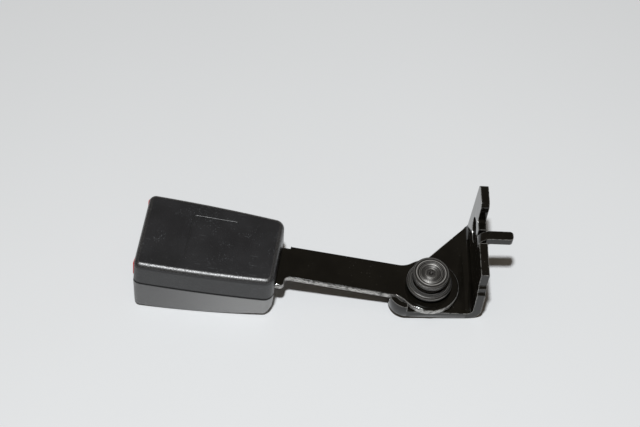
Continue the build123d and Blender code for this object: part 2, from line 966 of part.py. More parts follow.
MOUNT_PIECES = {
    "pivot_stud": pivot_stud,
    "stud_collar": stud_collar,
    "wave_washer": wave_washer,
    "pivot_bush": pivot_bush,
    "spacer_washer": spacer_washer,
    "bracket": bracket,
    "arm_plate": arm_plate,
}
HEAD_PIECES = {
    "housing_upper": housing_upper,
    "housing_lower": housing_lower,
    "tongue_guide": tongue_guide,
    "buckle_frame": buckle_frame,
    "frame_bridge": frame_bridge,
    "frame_rivets": frame_rivets,
    "latch_pivot_pin": latch_pivot_pin,
    "latch_plate": latch_plate,
    "release_button": release_button,
    "ejector": ejector,
    "ejector_spring": ejector_spring,
    "button_springs": button_springs,
    "latch_spring": latch_spring,
}


def bolt_hole_centre():
    """Centre of the seat bolt hole on the flange's outer face, in the pivot's frame."""
    turn = math.radians(bracket_turn)
    x = flange_outer * math.cos(turn) - bolt_hole_back * math.sin(turn)
    y = flange_outer * math.sin(turn) + bolt_hole_back * math.cos(turn)
    return x, y, bolt_hole_up


def main():
    """Write one STEP file per piece, with the bolt hole's centre at the origin."""
    os.makedirs("parts", exist_ok=True)
    x, y, z = bolt_hole_centre()
    for pieces, offset in ((MOUNT_PIECES, 0), (HEAD_PIECES, head_offset)):
        for name, build in pieces.items():
            piece = Pos(-x, -y - offset, -z) * build()
            piece.label = name
            export_step(piece, f"parts/{name}.step")
            print(name, len(piece.solids()), round(piece.volume, 1), piece.is_valid)


main()
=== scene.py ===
import json
import logging
import math
from dataclasses import dataclass, field
from enum import Enum

import bmesh
import bpy
from mathutils import Matrix, Vector


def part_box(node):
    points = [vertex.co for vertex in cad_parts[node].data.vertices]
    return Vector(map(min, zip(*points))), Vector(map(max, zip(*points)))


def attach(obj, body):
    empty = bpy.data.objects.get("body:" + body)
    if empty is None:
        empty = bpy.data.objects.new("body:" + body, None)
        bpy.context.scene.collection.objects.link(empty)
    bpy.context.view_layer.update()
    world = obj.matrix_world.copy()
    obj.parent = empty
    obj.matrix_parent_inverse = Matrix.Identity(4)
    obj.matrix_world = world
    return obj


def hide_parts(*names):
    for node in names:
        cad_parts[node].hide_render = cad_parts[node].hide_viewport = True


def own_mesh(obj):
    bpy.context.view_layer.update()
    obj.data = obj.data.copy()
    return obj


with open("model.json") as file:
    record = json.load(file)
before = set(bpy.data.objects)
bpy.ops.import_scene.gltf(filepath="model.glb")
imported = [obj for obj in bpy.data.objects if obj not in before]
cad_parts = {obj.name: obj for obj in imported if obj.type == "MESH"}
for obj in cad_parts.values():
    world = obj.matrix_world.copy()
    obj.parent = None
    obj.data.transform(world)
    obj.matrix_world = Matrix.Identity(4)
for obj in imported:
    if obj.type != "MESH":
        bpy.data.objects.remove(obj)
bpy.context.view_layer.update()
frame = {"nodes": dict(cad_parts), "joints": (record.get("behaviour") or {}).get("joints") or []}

MM = 0.001
WELD_MM = 0.002
BEVEL_SEGMENTS = 3
MADE: dict[str, bpy.types.Material] = {}
Colour = tuple[float, float, float]
log = logging.getLogger("buckle")


class Edge(Enum):
    """How the edges of painted steel lost their paint."""

    RUBBED = "rubbed_and_rear_light"
    SHEARED = "sheared"


# ---------------------------------------------------------------- shader arithmetic


class Value:
    """A number socket of a node tree that takes part in Python arithmetic."""

    def __init__(self, tree: bpy.types.NodeTree, socket: bpy.types.NodeSocket) -> None:
        """Wrap one output socket.

        Args:
            tree: the tree that new Math nodes are added to.
            socket: the output that holds the number.
        """
        self.tree = tree
        self.socket = socket

    def _math(self, operation: str, first: object, second: object) -> "Value":
        """Add one Math node.

        Args:
            operation: the Math node's operation.
            first: a number or a Value.
            second: a number or a Value.

        Returns:
            The node's result.
        """
        node = self.tree.nodes.new("ShaderNodeMath")
        node.operation = operation
        for socket, operand in zip(node.inputs, (first, second)):
            if isinstance(operand, Value):
                self.tree.links.new(operand.socket, socket)
            else:
                socket.default_value = operand
        return Value(self.tree, node.outputs[0])

    def __add__(self, other: object) -> "Value":
        """Sum."""
        return self._math("ADD", self, other)

    __radd__ = __add__

    def __sub__(self, other: object) -> "Value":
        """Difference."""
        return self._math("SUBTRACT", self, other)

    def __rsub__(self, other: object) -> "Value":
        """Difference from a plain number."""
        return self._math("SUBTRACT", other, self)

    def __mul__(self, other: object) -> "Value":
        """Product."""
        return self._math("MULTIPLY", self, other)

    def __truediv__(self, other: object) -> "Value":
        """Quotient."""
        return self._math("DIVIDE", self, other)

    def __pow__(self, other: object) -> "Value":
        """Power."""
        return self._math("POWER", self, other)

    def smooth(self, low: float, high: float) -> "Value":
        """Smooth step between two limits.

        Args:
            low: where the step starts from 0.
            high: where the step reaches 1.

        Returns:
            The step, between 0 and 1.
        """
        node = self.tree.nodes.new("ShaderNodeMapRange")
        node.interpolation_type = "SMOOTHSTEP"
        self.tree.links.new(self.socket, node.inputs["Value"])
        node.inputs["From Min"].default_value = low
        node.inputs["From Max"].default_value = high
        return Value(self.tree, node.outputs["Result"])


def scaled(colour: Colour, factor: float) -> Colour:
    """Brighten or darken a colour.

    Args:
        colour: the colour.
        factor: how much of each channel stays.

    Returns:
        The new colour, no channel above 1.
    """
    return tuple(min(1.0, channel * factor) for channel in colour)


class Shade:
    """One material under construction: every node comes from its node method."""

    def __init__(self, name: str) -> None:
        """Start a material with a principled shader.

        Args:
            name: the material's name.
        """
        self.material = bpy.data.materials.new(name)
        self.material.use_nodes = True
        self.tree = self.material.node_tree
        self.shader = self.tree.nodes["Principled BSDF"]
        self.place = self.node("ShaderNodeTexCoord").outputs["Object"]

    def node(self, kind: str, settings: dict | None = None, inputs: dict | None = None) -> bpy.types.Node:
        """Add any node.

        Args:
            kind: the node's type.
            settings: attributes that are set before the inputs.
            inputs: a value, a Value or a socket for each named or numbered input.

        Returns:
            The new node.
        """
        node = self.tree.nodes.new(kind)
        for key, value in (settings or {}).items():
            setattr(node, key, value)
        for key, value in (inputs or {}).items():
            socket = node.inputs[key]
            if isinstance(value, Value):
                value = value.socket
            if isinstance(value, bpy.types.NodeSocket):
                self.tree.links.new(value, socket)
            else:
                socket.default_value = value
        return node

    def noise(self, size_mm: float, detail: float = 3.0, rough: float = 0.5, stretch: Colour = (1, 1, 1),
              warp: float = 0.0) -> Value:
        """Noise with features of a given size.

        Args:
            size_mm: the size of the largest features.
            detail: how many finer layers are added.
            rough: how strong the finer layers are.
            stretch: how much faster the pattern runs along each axis.
            warp: the noise's own distortion.

        Returns:
            The noise, mostly between 0.3 and 0.7.
        """
        place = self.node("ShaderNodeMapping", {"vector_type": "POINT"}, {"Vector": self.place, "Scale": stretch})
        node = self.node(
            "ShaderNodeTexNoise",
            {"noise_dimensions": "3D"},
            {"Vector": place.outputs[0], "Scale": 1.0 / (size_mm * MM), "Detail": detail, "Roughness": rough,
             "Distortion": warp},
        )
        return Value(self.tree, node.outputs["Fac"])

    def cells(self, size_mm: float, feature: str = "F1") -> Value:
        """Distance to the nearest of scattered points, in cell widths.

        Args:
            size_mm: the distance between the points.
            feature: which Voronoi distance is read.

        Returns:
            The distance.
        """
        node = self.node(
            "ShaderNodeTexVoronoi",
            {"voronoi_dimensions": "3D", "feature": feature},
            {"Vector": self.place, "Scale": 1.0 / (size_mm * MM)},
        )
        return Value(self.tree, node.outputs["Distance"])

    def axis(self, index: int) -> Value:
        """One coordinate of the place in the part's frame.

        Args:
            index: 0 for X, 1 for Y, 2 for Z.

        Returns:
            The coordinate in metres.
        """
        split = self.node("ShaderNodeSeparateXYZ", None, {0: self.place})
        return Value(self.tree, split.outputs[index])

    def facing(self, index: int) -> Value:
        """One component of the surface's outward direction in the part's frame.

        Args:
            index: 0 for X, 1 for Y, 2 for Z.

        Returns:
            The component, from -1 to 1.
        """
        normal = self.node("ShaderNodeTexCoord").outputs["Normal"]
        split = self.node("ShaderNodeSeparateXYZ", None, {0: normal})
        return Value(self.tree, split.outputs[index])

    def rim(self, radius_mm: float, samples: int = 8) -> Value:
        """How flat the surface is nearby: 1 on a plain face, less on an edge.

        Args:
            radius_mm: how far from an edge it is felt.
            samples: how many rays find the edge.

        Returns:
            The cosine between the face and the face with softened edges.
        """
        soft = self.node("ShaderNodeBevel", {"samples": samples}, {"Radius": radius_mm * MM})
        flat = self.node("ShaderNodeNewGeometry").outputs["Normal"]
        dot = self.node("ShaderNodeVectorMath", {"operation": "DOT_PRODUCT"}, {0: soft.outputs[0], 1: flat})
        return Value(self.tree, dot.outputs["Value"])

    def blend(self, factor: object, first: object, second: object) -> bpy.types.NodeSocket:
        """Mix two colours.

        Args:
            factor: 0 gives the first colour and 1 the second.
            first: a colour or a colour socket.
            second: a colour or a colour socket.

        Returns:
            The mixed colour.
        """
        inputs = {0: factor}
        for index, colour in ((6, first), (7, second)):
            inputs[index] = (*colour, 1.0) if isinstance(colour, tuple) else colour
        node = self.node("ShaderNodeMix", {"data_type": "RGBA", "clamp_factor": True}, inputs)
        return node.outputs[2]

    def bump(self, height: Value, depth_mm: float, strength: float) -> None:
        """Raise the surface by a height pattern.

        Args:
            height: the pattern, where 1 is fully raised.
            depth_mm: how far 1 is raised.
            strength: how much of the relief shows.
        """
        node = self.node("ShaderNodeBump", None, {"Height": height, "Distance": depth_mm * MM, "Strength": strength})
        self.feed("Normal", node.outputs[0])

    def feed(self, name: str, value: object) -> None:
        """Set one of the shader's inputs, or link it.

        Args:
            name: the input's name.
            value: a number, a colour, a Value or a socket.
        """
        socket = self.shader.inputs[name]
        if isinstance(value, Value):
            value = value.socket
        if isinstance(value, bpy.types.NodeSocket):
            self.tree.links.new(value, socket)
        elif isinstance(value, tuple) and len(value) == 3:
            socket.default_value = (*value, 1.0)
        else:
            socket.default_value = value


# ---------------------------------------------------------------- finishes


class Finish:
    """A surface finish that can make its material."""

    name: str

    def material(self) -> bpy.types.Material:
        """Make the material once and reuse it each time after.

        Returns:
            The material.
        """
        if self.name not in MADE:
            MADE[self.name] = self.make()
        return MADE[self.name]

    def make(self) -> bpy.types.Material:
        """Build the node tree.

        Returns:
            The new material.
        """
        raise NotImplementedError


@dataclass(frozen=True)
class GrainedMoulding(Finish):
    """Spark-eroded black moulding: fine grain, faint dust, soft gloss on what fingers rub.

    The seam shade is painted shade: a near-black line at one height, where shade falls in the groove
    between the covers. The crown is the polish of the rounded top edge. The rubbed-and-rear-light colour is
    painted light: the cover gets paler towards its rear end, where more light falls on it.
    """

    name: str = "grained_moulding"
    colour: Colour = (0.0150, 0.0150, 0.0165)
    dust: Colour = (0.15, 0.16, 0.17)
    grain_mm: float = 0.40
    grain_depth_mm: float = 0.11
    gloss: float = 0.28
    sheen: float = 0.5
    dusty: float = 0.6
    # Painted shade: the seam fields below set a near-black band at the covers' groove, where shade falls.
    seam_shade_up: float = 0.0
    seam_shade_mm: float = 1.0
    seam_shade: Colour = (0.0008, 0.0008, 0.0008)
    crown: bool = False
    crown_gloss: float = 0.42
    crown_index: float = 1.95
    # Painted light: the three fields below make the colour paler towards the cover's rear end, where more light falls.
    rubbed_and_rear_light: Colour | None = None
    rear_light_from: float = 0.0
    rear_light_to: float = 0.0

    def make(self) -> bpy.types.Material:
        """Build the node tree."""
        shade = Shade(self.name)
        grain = shade.cells(self.grain_mm, "SMOOTH_F1") * 0.7 + shade.noise(self.grain_mm * 0.6, 2.0) * 0.7
        cloud = shade.noise(14.0, 3.0)
        patch = shade.noise(8.0, 2.0).smooth(0.50, 0.62)
        specks = shade.noise(0.45, 1.0).smooth(0.66, 0.72) * patch
        scratches = shade.noise(2.0, 1.0, rough=0.4, stretch=(0.22, 3.4, 1.0)).smooth(0.71, 0.73)
        scratches = scratches * cloud.smooth(0.50, 0.62)
        marks = (specks + scratches * 0.4) * self.dusty
        tone = shade.blend(cloud.smooth(0.3, 0.7), self.colour, scaled(self.colour, 1.3))
        # Painted light: paler colour towards the rear end, where more light falls on the cover.
        if self.rubbed_and_rear_light:
            tone = shade.blend(shade.axis(0).smooth(self.rear_light_from, self.rear_light_to), tone, self.rubbed_and_rear_light)
        # Painted shade: the colour goes near black in a band at the seam's height, where shade falls in the groove
        # between the covers.
        off_seam_shade = ((shade.axis(2) - self.seam_shade_up) ** 2.0) ** 0.5
        seam_shade = 1.0 - off_seam_shade.smooth(self.seam_shade_mm * 0.5 * MM, self.seam_shade_mm * MM)
        tone = shade.blend(marks, tone, self.dust)
        shade.feed("Base Color", shade.blend(seam_shade, tone, self.seam_shade))
        shade.feed("Roughness", self.gloss + (cloud - 0.5) * 0.14 + grain * 0.04 + marks * 0.2 + seam_shade * 0.5)
        shade.feed("Specular IOR Level", self.sheen)
        if self.crown:
            bend = shade.facing(2)
            worn = bend.smooth(0.25, 0.6) * (1.0 - bend.smooth(0.965, 0.998))
            sparkle = shade.noise(0.6, 1.0).smooth(0.40, 0.60)
            shade.feed("Coat Weight", worn * (0.35 + sparkle * 0.65))
            shade.feed("Coat Roughness", self.crown_gloss)
            shade.feed("Coat IOR", self.crown_index)
        shade.bump(grain, self.grain_depth_mm, 0.9)
        return shade.material


@dataclass(frozen=True)
class SmoothMoulding(Finish):
    """Polished or plain moulding with faint flow marks."""

    name: str
    colour: Colour
    gloss: float = 0.3
    flow_depth_mm: float = 0.02

    def make(self) -> bpy.types.Material:
        """Build the node tree."""
        shade = Shade(self.name)
        flow = shade.noise(6.0, 4.0, rough=0.55, stretch=(0.4, 1.0, 1.0), warp=0.6)
        fine = shade.noise(0.5, 2.0)
        shade.feed("Base Color", shade.blend(flow.smooth(0.3, 0.7), self.colour, scaled(self.colour, 1.25)))
        shade.feed("Roughness", self.gloss + (flow - 0.5) * 0.2 + (fine - 0.5) * 0.1)
        shade.bump(flow * 0.7 + fine * 0.3, self.flow_depth_mm, 0.5)
        return shade.material


@dataclass(frozen=True)
class StovedSteel(Finish):
    """Glossy black paint on pressed steel, with orange peel, dust nibs and bare cut edges."""

    name: str
    colour: Colour = (0.0042, 0.0037, 0.0028)
    bare: Colour = (0.55, 0.54, 0.52)
    dust: Colour = (0.12, 0.115, 0.10)
    gloss: float = 0.09
    edge: Edge = Edge.RUBBED
    edge_bare: float = 0.85
    edge_mm: float = 0.9
    peel_mm: float = 1.8
    peel_depth_mm: float = 0.022

    def make(self) -> bpy.types.Material:
        """Build the node tree."""
        shade = Shade(self.name)
        peel = shade.noise(self.peel_mm, 2.0, rough=0.45)
        cloud = shade.noise(11.0, 3.0)
        streaks = shade.noise(0.9, 3.0, rough=0.65, stretch=(0.45, 0.45, 1.3))
        nibs = shade.noise(0.7, 1.0).smooth(0.73, 0.77) * cloud.smooth(0.46, 0.64)
        if self.edge is Edge.SHEARED:
            rim = 1.0 - (shade.facing(2) ** 2.0).smooth(0.25, 0.80)
        else:
            rim = 1.0 - shade.rim(self.edge_mm).smooth(0.76, 0.965)
        bare = rim * streaks.smooth(0.34, 0.56) * self.edge_bare
        tone = shade.blend(cloud.smooth(0.35, 0.65), self.colour, scaled(self.colour, 1.5))
        tone = shade.blend(nibs * 0.35, tone, self.dust)
        shade.feed("Base Color", shade.blend(bare, tone, self.bare))
        shade.feed("Metallic", bare * 0.8)
        shade.feed("Roughness", self.gloss + (cloud - 0.5) * 0.10 + nibs * 0.3 + bare * 0.30)
        shade.bump(peel + streaks * bare * 1.2 + nibs * 0.3, self.peel_depth_mm, 0.7)
        return shade.material


@dataclass(frozen=True)
class TurnedSteel(Finish):
    """Black-finished turned steel with fine rings about the pivot's own axis."""

    name: str
    centre: Vector
    colour: Colour = (0.034, 0.032, 0.031)
    bright: Colour = (0.46, 0.45, 0.43)
    gloss: float = 0.38
    ring_mm: float = 0.34
    ring_depth_mm: float = 0.045
    worn_r_mm: float = 7.05
    worn_half_mm: float = 0.30
    worn: Colour = (0.75, 0.74, 0.72)
    metal: float = 0.75

    def make(self) -> bpy.types.Material:
        """Build the node tree."""
        shade = Shade(self.name)
        across = shade.axis(0) - self.centre.x
        along = shade.axis(1) - self.centre.y
        radius = (across * across + along * along) ** 0.5
        flat = shade.facing(2).smooth(0.75, 0.97)
        track = radius * flat + shade.axis(2) * (1.0 - flat)
        wobble = shade.noise(5.0, 2.0)
        wave = shade.node(
            "ShaderNodeTexNoise",
            {"noise_dimensions": "1D"},
            {"W": track / (self.ring_mm * MM) + wobble * 0.3, "Scale": 1.0, "Detail": 3.0, "Roughness": 0.65},
        )
        rings = Value(shade.tree, wave.outputs["Fac"])
        fine = shade.noise(0.3, 2.0)
        worn = 1.0 - ((radius - self.worn_r_mm * MM) ** 2.0).smooth(0.0, (self.worn_half_mm * MM) ** 2)
        tone = shade.blend(rings.smooth(0.45, 0.75), self.colour, self.bright)
        shade.feed("Base Color", shade.blend(worn * flat, tone, self.worn))
        shade.feed("Metallic", self.metal)
        shade.feed("Roughness", self.gloss + (rings - 0.5) * 0.22 + (fine - 0.5) * 0.10)
        shade.bump(rings + fine * 0.12, self.ring_depth_mm, 0.75)
        return shade.material


@dataclass(frozen=True)
class PlainSteel(Finish):
    """Bare or zinc-plated steel with rolling marks, spangle and a little oil staining."""

    name: str
    colour: Colour = (0.52, 0.52, 0.50)
    stain: Colour = (0.30, 0.27, 0.22)
    gloss: float = 0.30
    roll_depth_mm: float = 0.010

    def make(self) -> bpy.types.Material:
        """Build the node tree."""
        shade = Shade(self.name)
        rolled = shade.noise(1.0, 4.0, rough=0.6, stretch=(0.12, 4.0, 4.0))
        spangle = shade.cells(2.2)
        stain = shade.noise(7.0, 4.0, rough=0.6).smooth(0.52, 0.72)
        tone = shade.blend(spangle.smooth(0.2, 0.9), self.colour, scaled(self.colour, 0.8))
        shade.feed("Base Color", shade.blend(stain * 0.6, tone, self.stain))
        shade.feed("Metallic", 1.0)
        shade.feed("Roughness", self.gloss + (rolled - 0.5) * 0.25 + stain * 0.15)
        shade.bump(rolled * 0.7 + spangle * 0.3, self.roll_depth_mm, 0.5)
        return shade.material


SPRING_WIRE = PlainSteel("spring_wire", (0.42, 0.42, 0.43), (0.25, 0.2, 0.15), 0.2)


@dataclass(frozen=True)
class TableTop(Finish):
    """White laminate: almost plain, with a soft clear gloss."""

    name: str = "table_top"
    colour: Colour = (0.80, 0.81, 0.825)
    gloss: float = 0.30
    sheen: float = 0.35

    def make(self) -> bpy.types.Material:
        """Build the node tree."""
        shade = Shade(self.name)
        cloud = shade.noise(220.0, 2.0)
        shade.feed("Base Color", shade.blend(cloud.smooth(0.3, 0.7), self.colour, scaled(self.colour, 0.985)))
        shade.feed("Roughness", self.gloss + (shade.noise(30.0, 3.0) - 0.5) * 0.06)
        shade.feed("Specular IOR Level", self.sheen)
        return shade.material


# ---------------------------------------------------------------- the studio


@dataclass
class Camera:
    """Where the camera stands about the pivot stud, with the lens as a focal length in pixels."""

    width_px: int = 640
    focal_px: float = 1800.0
    sensor_mm: float = 36.0
    down_tilt: float = 54.01
    turn: float = 8.38
    lean: float = 4.60
    nearest_m: float = 0.01
    stud_right_px: float = 108.43
    stud_below_px: float = 71.41
    px_per_mm: float = 2.0767

    def world(self) -> Matrix:
        """Turn from the part's frame to the level frame that the camera looks along.

        Returns:
            The rotation.
        """
        return Matrix.Rotation(-math.radians(self.turn), 3, "Z") @ Matrix.Rotation(math.radians(self.lean), 3, "Y")

    def place(self, pivot: Vector) -> None:
        """Make the scene's camera.

        Args:
            pivot: the point on the stud's axis at the arm's top face.
        """
        data = bpy.data.cameras.new("camera")
        data.sensor_width = self.sensor_mm
        data.sensor_fit = "HORIZONTAL"
        data.lens = self.focal_px * self.sensor_mm / self.width_px
        data.clip_start = self.nearest_m
        tilt = math.radians(self.down_tilt)
        right = Vector((1.0, 0.0, 0.0))
        down = Vector((0.0, -math.sin(tilt), -math.cos(tilt)))
        ahead = Vector((0.0, math.cos(tilt), -math.sin(tilt)))
        distance = self.focal_px / self.px_per_mm * MM
        offset = right * (self.stud_right_px / self.focal_px) + down * (self.stud_below_px / self.focal_px) + ahead
        back = self.world().transposed()
        basis = Matrix((back @ right, back @ -down, back @ -ahead)).transposed()
        camera = bpy.data.objects.new("camera", data)
        camera.matrix_world = Matrix.Translation(pivot - back @ (offset * distance)) @ basis.to_4x4()
        bpy.context.scene.collection.objects.link(camera)
        bpy.context.scene.camera = camera


@dataclass
class Lamp:
    """An area light that looks at the part."""

    name: str = "key"
    distance: float = 1.2
    size: float = 0.075
    power: float = 13.4
    colour: Colour = (0.97, 0.99, 1.0)

    def place(self, aim: Vector, direction: Vector) -> None:
        """Make the light.

        Args:
            aim: the point that it faces.
            direction: the way from that point to the light.
        """
        data = bpy.data.lights.new(self.name, "AREA")
        data.shape = "SQUARE"
        data.size = self.size
        data.energy = self.power
        data.color = self.colour
        lamp = bpy.data.objects.new(self.name, data)
        away = direction.normalized()
        lamp.location = aim + away * self.distance
        lamp.rotation_mode = "QUATERNION"
        lamp.rotation_quaternion = (-away).to_track_quat("-Z", "Y")
        bpy.context.scene.collection.objects.link(lamp)


@dataclass
class Studio:
    """Table, lamp, sky and camera."""

    pivot: Vector
    table_reach: float = 3.0
    table_gap: float = 0.0001
    lean_from: float = -1.0
    lean_to: float = 12.0
    lean_steps: int = 40
    aim_offset: float = -0.06
    lamp_forward: float = 0.27
    lamp: Lamp = field(default_factory=Lamp)
    sky: Colour = (1.0, 0.87, 0.70)
    sky_power: float = 0.10
    camera: Camera = field(default_factory=Camera)

    def table_up(self) -> Vector:
        """Normal of the table, which the lowest points of the head and of the bracket both rest on.

        Returns:
            The unit normal in the part's frame.
        """
        low, high = math.radians(self.lean_from), math.radians(self.lean_to)
        head = [v.co for v in frame["nodes"]["housing_lower"].data.vertices]
        foot = [v.co for v in frame["nodes"]["bracket"].data.vertices]
        for _ in range(self.lean_steps):
            lean = (low + high) / 2
            normal = Vector((-math.sin(lean), 0.0, math.cos(lean)))
            if min(normal.dot(p) for p in head) > min(normal.dot(p) for p in foot):
                high = lean
            else:
                low = lean
        return normal

    def table(self, normal: Vector) -> None:
        """Make the table top under the part.

        Args:
            normal: the table's normal.
        """
        level = min(normal.dot(v.co) for node in frame["nodes"].values() for v in node.data.vertices)
        side = Vector((0.0, 1.0, 0.0))
        along = side.cross(normal)
        centre = normal * (level - self.table_gap)
        signs = ((-1, -1), (1, -1), (1, 1), (-1, 1))
        corners = [centre + (along * a + side * b) * self.table_reach for a, b in signs]
        mesh = bpy.data.meshes.new("table")
        mesh.from_pydata(corners, [], [tuple(range(len(corners)))])
        top = bpy.data.objects.new("table", mesh)
        bpy.context.scene.collection.objects.link(top)
        mesh.materials.append(TableTop().material())

    def light(self, normal: Vector) -> None:
        """Place the lamp and the sky.

        Args:
            normal: the table's normal, straight up from it.
        """
        aim = self.pivot + Vector((self.aim_offset, 0.0, 0.0))
        front = self.camera.world().transposed() @ Vector((0.0, -1.0, 0.0))
        self.lamp.place(aim, normal + front * self.lamp_forward)
        world = bpy.data.worlds.new("sky")
        world.use_nodes = True
        background = world.node_tree.nodes["Background"]
        background.inputs["Color"].default_value = (*self.sky, 1.0)
        background.inputs["Strength"].default_value = self.sky_power
        bpy.context.scene.world = world
        bpy.context.scene.view_settings.view_transform = "Standard"

    def build(self) -> None:
        """Make everything that isn't the part."""
        normal = self.table_up()
        self.table(normal)
        self.light(normal)
        self.camera.place(self.pivot)
        log.info("studio: table leans %.2f degrees", math.degrees(math.asin(-normal.x)))


# ---------------------------------------------------------------- the part


def dress(node: str, finish: Finish) -> None:
    """Give a carried-over node its finish.

    Args:
        node: the node's name.
        finish: the finish it gets.
    """
    mesh = frame["nodes"][node].data
    mesh.materials.clear()
    mesh.materials.append(finish.material())
    for polygon in mesh.polygons:
        polygon.material_index = 0
    log.info("dressed %s with %s", node, finish.name)


def soften(node: str, width_mm: float, angle: float = 35.0, clamp: bool = True) -> None:
    """Round a carried-over node's sharp edges with modifiers.

    Args:
        node: the node's name.
        width_mm: the width of the rounding.
        angle: edges that turn more than this many degrees are rounded.
        clamp: whether short faces hold the width back.
    """
    weld = frame["nodes"][node].modifiers.new("weld", "WELD")
    weld.merge_threshold = WELD_MM * MM
    bevel = frame["nodes"][node].modifiers.new("bevel", "BEVEL")
    bevel.width = width_mm * MM
    bevel.segments = BEVEL_SEGMENTS
    bevel.limit_method = "ANGLE"
    bevel.angle_limit = math.radians(angle)
    bevel.use_clamp_overlap = clamp


def meshed(name: str, work: bmesh.types.BMesh, finish: Finish, sharp: float = 180.0) -> bpy.types.Mesh:
    """Turn a finished bmesh into a smooth-shaded mesh with its normals outwards.

    Args:
        name: the mesh's name.
        work: the bmesh, which is freed.
        finish: the finish it gets.
        sharp: edges that turn more than this many degrees stay sharp.

    Returns:
        The mesh.
    """
    bmesh.ops.recalc_face_normals(work, faces=work.faces)
    mesh = bpy.data.meshes.new(name)
    work.to_mesh(mesh)
    work.free()
    mesh.materials.append(finish.material())
    mesh.shade_smooth()
    mesh.set_sharp_from_angle(angle=math.radians(sharp))
    return mesh


def added(name: str, mesh: bpy.types.Mesh, body: str, node: str | None = None) -> bpy.types.Object:
    """Add a piece to the scene.

    Args:
        name: the piece's name.
        mesh: its mesh, in the part's frame.
        body: the body that it rides on.
        node: the carried-over node that it replaces, if it replaces one.

    Returns:
        The piece.
    """
    piece = bpy.data.objects.new(name, mesh)
    bpy.context.scene.collection.objects.link(piece)
    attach(piece, body)
    if node:
        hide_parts(node)
    log.info("made %s with %d faces", name, len(mesh.polygons))
    return piece


@dataclass
class CoilSpring:
    """One or more equal coil springs, wound by a Geometry Nodes tree."""

    node: str
    joint: str
    axis: Vector
    coil_mm: float
    wire_mm: float
    turns: float
    travel_mm: float
    finish: Finish = SPRING_WIRE
    steps_per_turn: int = 28
    wire_sides: int = 12
    sockets: dict[str, str] = field(default_factory=dict)

    def __post_init__(self) -> None:
        """Read the spring's place from the node that it replaces."""
        low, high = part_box(self.node)
        middle = (low + high) / 2
        self.length = abs(self.axis.dot(high - low))
        self.foot = middle - self.axis * (self.length / 2)
        spare = (high.y - low.y) / 2 - (self.coil_mm + self.wire_mm) * MM
        sides = (-spare, spare) if spare > self.coil_mm * MM else (0.0,)
        self.offsets = [Vector((0.0, side, 0.0)) for side in sides]

    def tree(self) -> bpy.types.NodeTree:
        """Build the tree: a spiral swept with the wire, placed at each offset.

        Returns:
            The node group.
        """
        tree = bpy.data.node_groups.new(f"{self.node}_winding", "GeometryNodeTree")
        inputs = {}
        for label in ("Length", "Coil radius", "Wire radius", "Turns"):
            inputs[label] = tree.interface.new_socket(label, in_out="INPUT", socket_type="NodeSocketFloat")
        tree.interface.new_socket("Geometry", in_out="OUTPUT", socket_type="NodeSocketGeometry")
        ends = {kind: tree.nodes.new(f"NodeGroup{kind}") for kind in ("Input", "Output")}

        def add(kind: str, links: dict) -> bpy.types.Node:
            """Add a node and feed its named inputs."""
            node = tree.nodes.new(kind)
            for key, value in links.items():
                if isinstance(value, bpy.types.NodeSocket):
                    tree.links.new(value, node.inputs[key])
                else:
                    node.inputs[key].default_value = value
            return node

        given = ends["Input"].outputs
        spiral = add("GeometryNodeCurveSpiral", {
            "Resolution": self.steps_per_turn, "Rotations": given["Turns"], "Start Radius": given["Coil radius"],
            "End Radius": given["Coil radius"], "Height": given["Length"]})
        wire = add("GeometryNodeCurvePrimitiveCircle", {
            "Resolution": self.wire_sides, "Radius": given["Wire radius"]})
        swept = add("GeometryNodeCurveToMesh", {
            "Curve": spiral.outputs[0], "Profile Curve": wire.outputs[0], "Fill Caps": True})
        smooth = add("GeometryNodeSetShadeSmooth", {"Geometry": swept.outputs[0]})
        joined = tree.nodes.new("GeometryNodeJoinGeometry")
        turn = self.axis.to_track_quat("Z", "Y").to_euler()
        for offset in self.offsets:
            placed = add("GeometryNodeTransform", {
                "Geometry": smooth.outputs[0], "Rotation": turn,
                "Translation": self.foot + self.axis * (self.wire_mm * MM) + offset})
            tree.links.new(placed.outputs[0], joined.inputs[0])
        real = add("GeometryNodeRealizeInstances", {"Geometry": joined.outputs[0]})
        painted = add("GeometryNodeSetMaterial", {"Geometry": real.outputs[0], "Material": self.finish.material()})
        tree.links.new(painted.outputs[0], ends["Output"].inputs[0])
        self.sockets = {label: socket.identifier for label, socket in inputs.items()}
        return tree

    def build(self) -> None:
        """Wind the springs as one plain mesh."""
        holder = bpy.data.objects.new(f"{self.node}_holder", bpy.data.meshes.new("empty"))
        bpy.context.scene.collection.objects.link(holder)
        winder = holder.modifiers.new("winding", "NODES")
        winder.node_group = self.tree()
        wire = self.wire_mm * MM
        sizes = {
            "Length": self.length - 2 * wire, "Coil radius": self.coil_mm * MM, "Wire radius": wire,
            "Turns": self.turns}
        for label, value in sizes.items():
            winder[self.sockets[label]] = value
        bpy.context.view_layer.update()
        seen = holder.evaluated_get(bpy.context.evaluated_depsgraph_get())
        mesh = bpy.data.meshes.new_from_object(seen)
        mesh.name = f"{self.node}_coil"
        bpy.data.objects.remove(holder)
        piece = added(mesh.name, mesh, "arm_body", self.node)
        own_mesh(piece)


